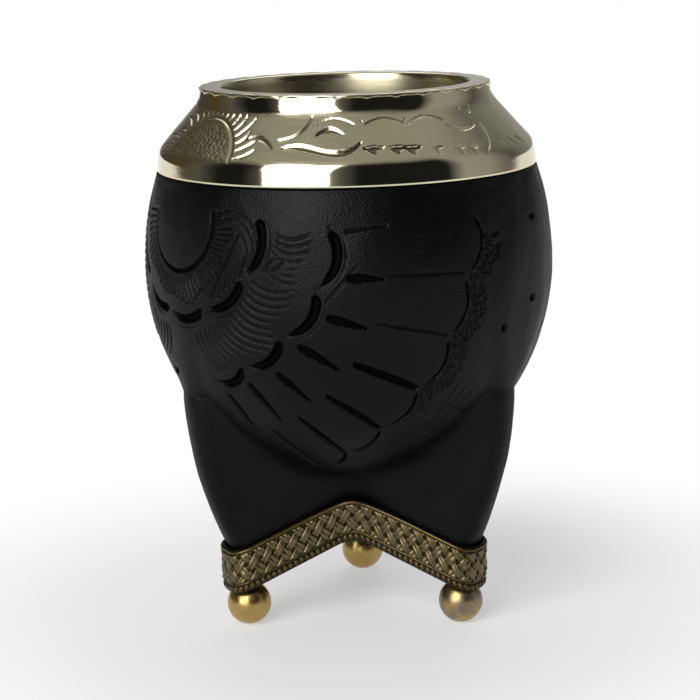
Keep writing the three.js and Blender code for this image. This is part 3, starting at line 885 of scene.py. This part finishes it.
def build_gourd(material):
    angles = even_angles(GOURD_COLUMNS)
    cavity = GOURD_INSET + GOURD_WALL
    bore = MOUTH_RADIUS + SHEET + SEAT_GAP

    def lower(inset, count):
        turn = np.linspace(0.06, np.pi / 2, count)
        return BELLY_LEVEL - (BASE_SEMI_AXIS - inset) * np.cos(turn)

    upper = np.linspace(BELLY_LEVEL, NECK_BASE_LEVEL, 24)[1:]
    out_levels = np.concatenate([lower(GOURD_INSET, 20), upper])
    out_radii = egg_radius(out_levels, GOURD_INSET)
    slope = (COLLAR_BAND_RADIUS - NECK_RADIUS - NECK_FLARE) / SHOULDER_HEIGHT
    under = COLLAR_BAND_RADIUS - SHEET - 3 * SEAT_GAP - COLLAR_BAND_TAPER
    room = under - np.maximum(out_levels - CREASE_LEVEL + 1.2, 0) * slope
    out_radii = np.where(out_levels > COLLAR_BOTTOM, np.minimum(out_radii, room), out_radii)
    in_levels = np.concatenate([lower(cavity, 48), upper])
    in_radii = egg_radius(in_levels, cavity)
    in_radii = np.where(in_levels > BELLY_LEVEL, np.maximum(in_radii, bore), in_radii)
    outside = turned_rings(zip(out_radii, out_levels), angles)
    inside = turned_rings(zip(in_radii, in_levels), angles)
    rough = 0.3 * lumps(inside, 8.0, 31) + 0.14 * lumps(inside, 3.0, 32)
    fade = smooth_step(NECK_BASE_LEVEL - 8, NECK_BASE_LEVEL - 14, in_levels)[:, None]
    inside = inside + normals_of(inside) * (rough * fade)[..., None]
    rings = np.concatenate([outside, inside[::-1]])
    return loft("gourd", rings, material, bottom=[0, 0, out_levels[0]], top=[0, 0, in_levels[0]])


def build_sole(material):
    angles = even_angles(SOLE_COLUMNS)

    def sheet_rows(level, shares):
        edge = reach(legs_distance, -(LEATHER + SEAT_GAP), angles, level)
        return [ring_of(edge * share, angles, level(edge * share, angles)) for share in shares]

    shares = np.linspace(0.05, 1, 26)
    rings = np.array(sheet_rows(hem, shares) + sheet_rows(sole_top, shares[::-4]))
    rings[..., 2] += 0.07 * lumps(rings, 5.0, 41)
    bottom = [0, 0, float(hem(0.0, 0.0))]
    top = [0, 0, float(sole_top(0.0, 0.0))]
    return loft("sole_leather", rings, material, bottom=bottom, top=top)


def build_foot(name, leg, material):
    angles = even_angles(BALL_COLUMNS)
    start = math.asin(BALL_FLAT_RADIUS / BALL_RADIUS)
    end = math.pi - math.asin(NECK_OF_BALL_RADIUS / BALL_RADIUS)
    turn = np.linspace(start, end, 40)
    line = list(zip(BALL_RADIUS * np.sin(turn), BALL_CENTRE - BALL_RADIUS * np.cos(turn)))
    top = float(hem(FOOT_CIRCLE_RADIUS + NECK_OF_BALL_RADIUS, leg)) - SEAT_GAP
    line += [(NECK_OF_BALL_RADIUS, top), (NECK_OF_BALL_RADIUS - 0.3, top)]
    axis = [FOOT_CIRCLE_RADIUS * math.cos(leg), FOOT_CIRCLE_RADIUS * math.sin(leg)]
    rings = turned_rings(line, angles)
    rings[..., :2] += axis
    return loft(name, rings, material, bottom=axis + [0.0], top=axis + [top])


# Materials

class Graph:
    """A tree of shader nodes, built node by node."""

    def __init__(self, tree):
        self.tree = tree

    def feed(self, node, inputs):
        """Set sockets of a node to numbers or colours, or link other nodes' outputs to them."""
        sockets = {socket.identifier: socket for socket in node.inputs}
        for key, value in inputs.items():
            if isinstance(value, bpy.types.NodeSocket):
                self.tree.links.new(value, sockets[key])
            elif sockets[key].type == "RGBA":
                sockets[key].default_value = (*value, 1)
            else:
                sockets[key].default_value = value

    def node(self, kind, inputs=None, **settings):
        """Add a node and return its outputs."""
        made = self.tree.nodes.new(kind)
        for key, value in settings.items():
            setattr(made, key, value)
        self.feed(made, inputs or {})
        return {socket.identifier: socket for socket in made.outputs}

    def ramp(self, source, stops):
        """A ramp through stops of a place and a colour or a grey."""
        colours = self.node("ShaderNodeValToRGB", {"Fac": source})["Color"]
        elements = colours.node.color_ramp.elements
        while len(elements) < len(stops):
            elements.new(0.5)
        for element, (at, colour) in zip(elements, stops):
            element.position = at
            element.color = (*colour, 1) if isinstance(colour, tuple) else (colour, colour, colour, 1)
        return colours

    def remap(self, source, low, high, to_low, to_high):
        inputs = {"Value": source, "From Min": low, "From Max": high, "To Min": to_low, "To Max": to_high}
        return self.node("ShaderNodeMapRange", inputs, interpolation_type="SMOOTHSTEP")["Result"]

    def math(self, operation, a, b):
        return self.node("ShaderNodeMath", {"Value": a, "Value_001": b}, operation=operation)["Value"]

    def mix(self, share, a, b):
        """Mix two colours."""
        inputs = {"Factor_Float": share, "A_Color": a, "B_Color": b}
        return self.node("ShaderNodeMix", inputs, data_type="RGBA")["Result_Color"]

    def blend(self, share, a, b):
        """Mix two surfaces."""
        return self.node("ShaderNodeMixShader", {"Fac": share, "Shader": a, "Shader_001": b})["Shader"]


class Shade(Graph):
    """A material of the part."""

    def __init__(self, name):
        self.material = bpy.data.materials.new(name)
        self.material.use_nodes = True
        super().__init__(self.material.node_tree)
        self.place = self.node("ShaderNodeTexCoord")["Object"]

    def noise(self, scale, detail=4.0, roughness=0.55, stretch=(1.0, 1.0, 1.0), distortion=0.0):
        place = self.node("ShaderNodeMapping", {"Vector": self.place, "Scale": stretch})["Vector"]
        inputs = {"Scale": scale, "Detail": detail, "Roughness": roughness, "Distortion": distortion}
        return self.node("ShaderNodeTexNoise", {"Vector": place, **inputs})["Fac"]

    def cells(self, scale):
        return self.node("ShaderNodeTexVoronoi", {"Scale": scale, "Vector": self.place})["Distance"]

    def level(self):
        return self.node("ShaderNodeSeparateXYZ", {"Vector": self.place})["Z"]

    def attribute(self, name):
        return self.node("ShaderNodeAttribute", attribute_name=name)["Fac"]

    def bump(self, height, strength, distance):
        inputs = {"Height": height, "Strength": strength, "Distance": distance}
        return self.node("ShaderNodeBump", inputs)["Normal"]

    def metal(self, colour, rough, marks, strength):
        """Finish a metal, with fine marks in its surface."""
        bumps = self.bump(marks, strength, 0.0001)
        return self.finish(Base_Color=colour, Metallic=1.0, Roughness=rough, Normal=bumps)

    def finish(self, **sockets):
        surface = self.tree.nodes["Principled BSDF"]
        self.feed(surface, {key.replace("_", " "): value for key, value in sockets.items()})
        return self.material


def black_leather():
    shade = Shade("black_leather")
    tooled = shade.attribute("tooled")
    patches = shade.noise(38.0, 3.0)
    colour = shade.ramp(patches, [(0.3, (0.0008, 0.0010, 0.0016)), (0.7, (0.0014, 0.0017, 0.0027))])
    # The colour goes darker in the cuts: partly dye in the tooling and partly a painted shade in its
    # recesses.
    dark = shade.remap(tooled, 0.15, 0.8, 0.0, 0.85)
    colour = shade.mix(dark, colour, (0.0004, 0.0004, 0.0005))
    pores = shade.cells(2300.0)
    creases = shade.noise(2400.0, 4.0, 0.55)
    grain = shade.math("ADD", shade.math("MULTIPLY", pores, 0.8), creases)
    rough = shade.remap(shade.noise(90.0, 4.0), 0.3, 0.7, 0.5, 0.65)
    bumps = shade.bump(grain, 0.36, 0.00025)
    return shade.finish(
        Base_Color=colour,
        Roughness=rough,
        Specular_IOR_Level=0.02,
        Normal=bumps,
        Coat_Weight=shade.remap(tooled, 0.25, 0.8, 0.21, 0.02),
        Coat_Roughness=0.27,
        Coat_Normal=bumps,
    )


def sole_leather():
    shade = Shade("sole_leather")
    colour = shade.ramp(shade.noise(60.0, 6.0), [(0.3, (0.022, 0.015, 0.011)), (0.7, (0.05, 0.034, 0.024))])
    grain = shade.noise(900.0, 6.0)
    rough = shade.remap(shade.noise(120.0), 0.3, 0.7, 0.7, 0.9)
    return shade.finish(
        Base_Color=colour, Roughness=rough, Specular_IOR_Level=0.25, Normal=shade.bump(grain, 0.5, 0.0003)
    )


def thread():
    shade = Shade("waxed_thread")
    twist = shade.noise(1800.0, 3.0, stretch=(1.0, 1.0, 0.3))
    colour = shade.ramp(twist, [(0.3, (0.006, 0.006, 0.006)), (0.7, (0.02, 0.019, 0.018))])
    rough = shade.remap(twist, 0.3, 0.7, 0.45, 0.65)
    return shade.finish(Base_Color=colour, Roughness=rough, Normal=shade.bump(twist, 0.5, 0.0002))


def calabash():
    shade = Shade("calabash")
    mottle = shade.noise(55.0, 6.0, 0.6)
    shell = [(0.28, (0.13, 0.075, 0.03)), (0.5, (0.24, 0.15, 0.07)), (0.75, (0.36, 0.25, 0.13))]
    colour = shade.ramp(mottle, shell)
    fibres = shade.noise(420.0, 5.0, 0.6, stretch=(1.0, 1.0, 0.35))
    colour = shade.mix(shade.remap(fibres, 0.45, 0.65, 0.0, 0.35), colour, (0.09, 0.05, 0.02))
    rough = shade.remap(mottle, 0.3, 0.7, 0.65, 0.85)
    return shade.finish(
        Base_Color=colour, Roughness=rough, Specular_IOR_Level=0.3, Normal=shade.bump(fibres, 0.4, 0.0004)
    )


def block_wood():
    shade = Shade("block_wood")
    rings = shade.noise(70.0, 5.0, 0.6, stretch=(1.0, 1.0, 0.12), distortion=0.6)
    colour = shade.ramp(rings, [(0.3, (0.20, 0.11, 0.045)), (0.7, (0.42, 0.26, 0.12))])
    rough = shade.remap(rings, 0.3, 0.7, 0.6, 0.8)
    return shade.finish(Base_Color=colour, Roughness=rough, Normal=shade.bump(rings, 0.2, 0.0004))


def aged_brass():
    shade = Shade("aged_brass")
    relief = shade.attribute("relief")
    stain = shade.noise(160.0, 5.0, 0.6)
    bright = shade.ramp(stain, [(0.3, (0.074, 0.054, 0.022)), (0.7, (0.108, 0.082, 0.038))])
    low = shade.remap(relief, 0.02, 0.4, 1.0, 0.0)
    colour = shade.mix(shade.math("MULTIPLY", low, 0.9), bright, (0.022, 0.016, 0.007))
    worn = shade.remap(relief, 0.38, 0.55, 0.0, 0.5)
    colour = shade.mix(worn, colour, (0.20, 0.165, 0.09))
    scuffs = shade.noise(900.0, 4.0)
    rough = shade.math("ADD", shade.remap(scuffs, 0.3, 0.7, 0.26, 0.4), shade.math("MULTIPLY", low, 0.22))
    return shade.metal(colour, rough, scuffs, 0.12)


def ball_brass(name, worn_share):
    shade = Shade(name)
    stain = shade.noise(210.0, 5.0, 0.6)
    brass = shade.ramp(stain, [(0.3, (0.40, 0.275, 0.09)), (0.7, (0.50, 0.355, 0.135))])
    patches = shade.noise(130.0, 6.0, 0.65, distortion=0.4)
    wear = shade.remap(patches, 0.56 - worn_share, 0.80 - worn_share, 0.0, 0.95)
    colour = shade.mix(wear, brass, (0.20, 0.175, 0.14))
    scratches = shade.noise(700.0, 5.0, 0.6, stretch=(1.0, 0.3, 1.0))
    rough = shade.remap(scratches, 0.35, 0.7, 0.26, 0.38)
    rough = shade.math("ADD", rough, shade.math("MULTIPLY", wear, 0.08))
    return shade.metal(colour, rough, scratches, 0.06)


def nickel_silver():
    shade = Shade("nickel_silver")
    level = shade.level()
    satin_low = shade.remap(level, (CREASE_LEVEL - 0.6) * MM, (CREASE_LEVEL + 0.9) * MM, 0.0, 1.0)
    satin_high = shade.remap(level, (NECK_BASE_LEVEL - 0.4) * MM, (NECK_BASE_LEVEL + 0.5) * MM, 1.0, 0.0)
    satin = shade.math("MULTIPLY", satin_low, satin_high)
    chasing = shade.attribute("chased")
    clouds = shade.noise(45.0, 4.0)
    colour = shade.ramp(clouds, [(0.3, (0.60, 0.56, 0.38)), (0.7, (0.70, 0.655, 0.46))])
    colour = shade.mix(shade.remap(chasing, 0.1, 0.5, 0.0, 0.75), colour, (0.10, 0.09, 0.06))
    brushed = shade.noise(260.0, 5.0, 0.6, stretch=(1.0, 1.0, 14.0))
    dull = shade.math("MULTIPLY", satin, shade.remap(brushed, 0.3, 0.7, 0.13, 0.24))
    rough = shade.math("ADD", 0.07, dull)
    rough = shade.math("SUBTRACT", rough, shade.math("MULTIPLY", chasing, 0.15))
    return shade.metal(colour, rough, brushed, 0.05)


def lip_metal():
    shade = Shade("lip_metal")
    clouds = shade.noise(60.0, 4.0)
    colour = shade.ramp(clouds, [(0.3, (0.60, 0.555, 0.37)), (0.7, (0.70, 0.65, 0.46))])
    # Below the rim the colour goes darker, a painted shade inside the mouth, and the metal gets rougher.
    inside = shade.remap(shade.level(), (RIM_LEVEL - 2.4) * MM, (RIM_LEVEL - 0.6) * MM, 1.0, 0.0)
    colour = shade.mix(inside, colour, (0.30, 0.27, 0.18))
    brushed = shade.noise(240.0, 5.0, 0.6, stretch=(1.0, 1.0, 9.0))
    rough = shade.remap(brushed, 0.3, 0.7, 0.14, 0.22)
    rough = shade.math("ADD", rough, shade.math("MULTIPLY", inside, 0.18))
    return shade.metal(colour, rough, brushed, 0.05)


# Put the part together

def place(piece, slot, *nodes):
    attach(piece, "root")
    if nodes:
        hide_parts(*nodes)


place(build_gourd(calabash()), "calabash", "gourd_shell")
place(build_leather(black_leather()), "black_leather", "leather_cover")
place(build_seam(thread()), "black_leather")
place(build_sole(sole_leather()), "sole_leather", "sole")
place(build_trim(aged_brass()), "aged_brass", "trim_band")
golden = ball_brass("ball_brass", 0.0)
worn = ball_brass("worn_ball_brass", 0.21)
for side, brass in (("left", golden), ("right", worn), ("rear", golden)):
    place(build_foot("foot_" + side, LEGS[side], brass), "ball_brass", "ball_foot_" + side)
place(build_collar(nickel_silver()), "nickel_silver", "collar_shell")
place(build_liner(lip_metal()), "lip_metal", "mouth_liner")
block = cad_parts["base_block"]
block.data.materials.clear()
block.data.materials.append(block_wood())


# Floor, light and camera, with the floor and the lamps in metres

FLOOR_RADIUS = 9.0
FLOOR_COLOUR = (0.92, 0.92, 0.92)
SHADOW_REACH = (0.05, 0.15)
WHITE_IN_SHADOW = 0.42
CEILING = (0.36, 0.352, 0.33)
CEILING_RISE = (0.60, 0.88)
ROOM_WALLS = (
    # turn from the front in degrees, and a grey or a colour
    (-180, 0.45), (-150, 0.06), (-118, (0.09, 0.066, 0.03)), (-97, 0.11), (-88, 0.05), (-80, 0.012),
    (-62, 0.012), (-10, 0.30), (0, 0.10), (10, 0.012), (66, 0.015), (78, 0.38), (100, 0.34), (122, 0.10),
    (179, 0.45),
)
LAMP_AWAY = 1.3
LAMP_AIM = 0.09


def build_floor():
    """A pale floor that keeps the shadow, and is white further out to the camera and in reflections."""
    bpy.ops.mesh.primitive_circle_add(vertices=96, radius=FLOOR_RADIUS, fill_type="NGON", location=(0, 0, 0))
    floor = bpy.context.object
    floor.name = "floor"
    material = bpy.data.materials.new("floor")
    material.use_nodes = True
    material.node_tree.nodes.clear()
    graph = Graph(material.node_tree)
    spot = graph.node("ShaderNodeTexCoord")["Object"]
    away = graph.node("ShaderNodeVectorMath", {"Vector": spot}, operation="LENGTH")["Value"]
    whiteness = graph.remap(away, *SHADOW_REACH, WHITE_IN_SHADOW, 1.0)
    pale = graph.node("ShaderNodeBsdfDiffuse", {"Color": FLOOR_COLOUR})["BSDF"]
    white = graph.node("ShaderNodeEmission", {"Strength": 1.0})["Emission"]
    backdrop = graph.blend(whiteness, pale, white)
    rays = graph.node("ShaderNodeLightPath")
    seen = graph.math("MAXIMUM", rays["Is Camera Ray"], rays["Is Glossy Ray"])
    seen = graph.math("MAXIMUM", seen, rays["Is Transmission Ray"])
    graph.node("ShaderNodeOutputMaterial", {"Surface": graph.blend(seen, pale, backdrop)})
    floor.data.materials.append(material)


def build_world():
    """A plain room, the same for every ray, with dark stretches of wall that polished metal shows."""
    world = bpy.data.worlds.new("studio")
    bpy.context.scene.world = world
    world.use_nodes = True
    world.node_tree.nodes.clear()
    graph = Graph(world.node_tree)
    direction = graph.node("ShaderNodeTexCoord")["Generated"]
    way = graph.node("ShaderNodeSeparateXYZ", {"Vector": direction})
    turn = graph.math("ARCTAN2", way["X"], graph.math("MULTIPLY", way["Y"], -1.0))
    share = graph.math("ADD", graph.math("DIVIDE", turn, 2 * math.pi), 0.5)
    walls = graph.ramp(share, [(degrees / 360 + 0.5, colour) for degrees, colour in ROOM_WALLS])
    height = graph.remap(way["Z"], *CEILING_RISE, 0.0, 1.0)
    colour = graph.mix(height, walls, CEILING)
    room = graph.node("ShaderNodeBackground", {"Color": colour, "Strength": 1.0})["Background"]
    graph.node("ShaderNodeOutputWorld", {"Surface": room})


def soft_lamp(name, azimuth, elevation, size, radiance):
    """A soft box, aimed at the cup from an azimuth and an elevation in degrees."""
    data = bpy.data.lights.new(name, "AREA")
    data.shape = "RECTANGLE"
    data.size, data.size_y = size
    data.energy = radiance * math.pi * size[0] * size[1]
    turn, rise = math.radians(azimuth), math.radians(elevation)
    way = Vector((math.sin(turn) * math.cos(rise), -math.cos(turn) * math.cos(rise), math.sin(rise)))
    lamp = bpy.data.objects.new(name, data)
    lamp.location = Vector((0, 0, LAMP_AIM)) + way * LAMP_AWAY
    lamp.rotation_euler = (-way).to_track_quat("-Z", "Y").to_euler()
    bpy.context.scene.collection.objects.link(lamp)


CAMERA_AWAY = 529.06
CAMERA_LEVEL = 172.2
LOOK_LEVEL = 64.1
CAMERA_YAW = math.radians(3.0)
CAMERA_ROLL = math.radians(-1.5)
FOCAL_PIXELS = 2217.0
SHIFT_PIXELS = -1.5
PICTURE = 700.0
SENSOR = 36.0


def build_camera():
    data = bpy.data.cameras.new("camera")
    data.sensor_width = SENSOR
    data.lens = FOCAL_PIXELS / PICTURE * SENSOR
    data.shift_x = SHIFT_PIXELS / PICTURE
    camera = bpy.data.objects.new("camera", data)
    aside, ahead = CAMERA_AWAY * math.sin(CAMERA_YAW), CAMERA_AWAY * math.cos(CAMERA_YAW)
    at = Vector((aside, -ahead, CAMERA_LEVEL)) * MM
    aim = Vector((0, 0, LOOK_LEVEL * MM)) - at
    turned = aim.to_track_quat("-Z", "Y").to_matrix() @ Matrix.Rotation(CAMERA_ROLL, 3, "Z")
    camera.matrix_world = Matrix.Translation(at) @ turned.to_4x4()
    bpy.context.scene.collection.objects.link(camera)
    bpy.context.scene.camera = camera


build_floor()
build_world()
soft_lamp("window", azimuth=-27.5, elevation=24, size=(0.97, 1.1), radiance=5.3)
soft_lamp("behind", azimuth=182, elevation=48, size=(1.0, 0.8), radiance=1.5)
build_camera()
bpy.context.scene.view_settings.view_transform = "Standard"
